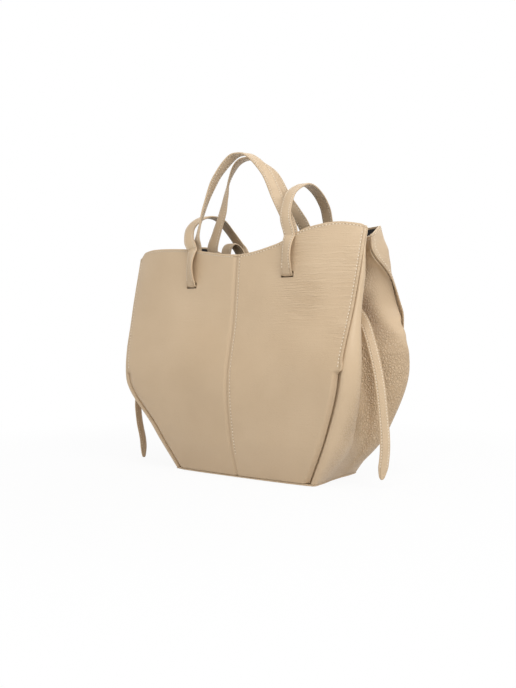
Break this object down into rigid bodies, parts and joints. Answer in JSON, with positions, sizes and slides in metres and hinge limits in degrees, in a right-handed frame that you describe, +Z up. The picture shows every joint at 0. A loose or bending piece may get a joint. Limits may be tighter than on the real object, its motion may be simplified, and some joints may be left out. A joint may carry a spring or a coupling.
{
  "type": "leather tote bag",
  "caption": "Soft open-top leather tote with inward-folded gussets, a strap threaded through the walls as tall handles and short side loops, and hanging side laces.",
  "frame": {"origin": "on the ground under the middle of the base", "axes": "+Z up, -Y the front, +X the viewer's right when facing the front"},
  "size_m": [0.3605, 0.1516, 0.3869],
  "materials": {
    "leather": "pebbled beige leather, satin",
    "strap_leather": "smooth beige leather with painted edges",
    "lining": "near-black cloth",
    "board": "matt stiffening board"
  },
  "bodies": {
    "bag": {"front_panel_left": "leather", "front_panel_right": "leather", "back_panel_left": "leather", "back_panel_right": "leather", "gusset_left": "leather", "gusset_right": "leather", "base_panel": "leather", "base_board": "board", "base_lining": "lining", "front_lining": "lining", "back_lining": "lining", "left_lining": "lining", "right_lining": "lining", "front_strap_left": "strap_leather", "front_strap_right": "strap_leather", "back_strap_left": "strap_leather", "back_strap_right": "strap_leather"},
    "front_handle": {"front_handle": "strap_leather"},
    "back_handle": {"back_handle": "strap_leather"},
    "left_loop": {"left_loop": "strap_leather"},
    "right_loop": {"right_loop": "strap_leather"},
    "left_lace": {"left_lace": "strap_leather"},
    "right_lace": {"right_lace": "strap_leather"}
  },
  "joints": [
    {"name": "front_handle_swing", "type": "hinge", "parent": "bag", "child": "front_handle", "pos_m": [-0.00023, -0.04621, 0.27436], "axis": [0.9972, 0.0235, 0.0705], "range_deg": [0, 6]},
    {"name": "back_handle_swing", "type": "hinge", "parent": "bag", "child": "back_handle", "pos_m": [-0.00323, -0.00729, 0.27636], "axis": [0.9599, 0.2691, 0.0783], "range_deg": [-45, 0]},
    {"name": "left_loop_swing", "type": "hinge", "parent": "bag", "child": "left_loop", "pos_m": [-0.06811, 0, 0.26806], "axis": [0, 1, 0], "range_deg": [-5, 7]},
    {"name": "right_loop_swing", "type": "hinge", "parent": "bag", "child": "right_loop", "pos_m": [0.06833, 0, 0.27765], "axis": [0, 1, 0], "range_deg": [-3, 7]},
    {"name": "left_lace_swing", "type": "hinge", "parent": "bag", "child": "left_lace", "pos_m": [-0.13555, -0.00853, 0.20053], "axis": [0, 1, 0], "range_deg": [0, 70]},
    {"name": "right_lace_swing", "type": "hinge", "parent": "bag", "child": "right_lace", "pos_m": [0.11767, -0.00826, 0.21148], "axis": [0, -1, 0], "range_deg": [0, 45]}
  ]
}
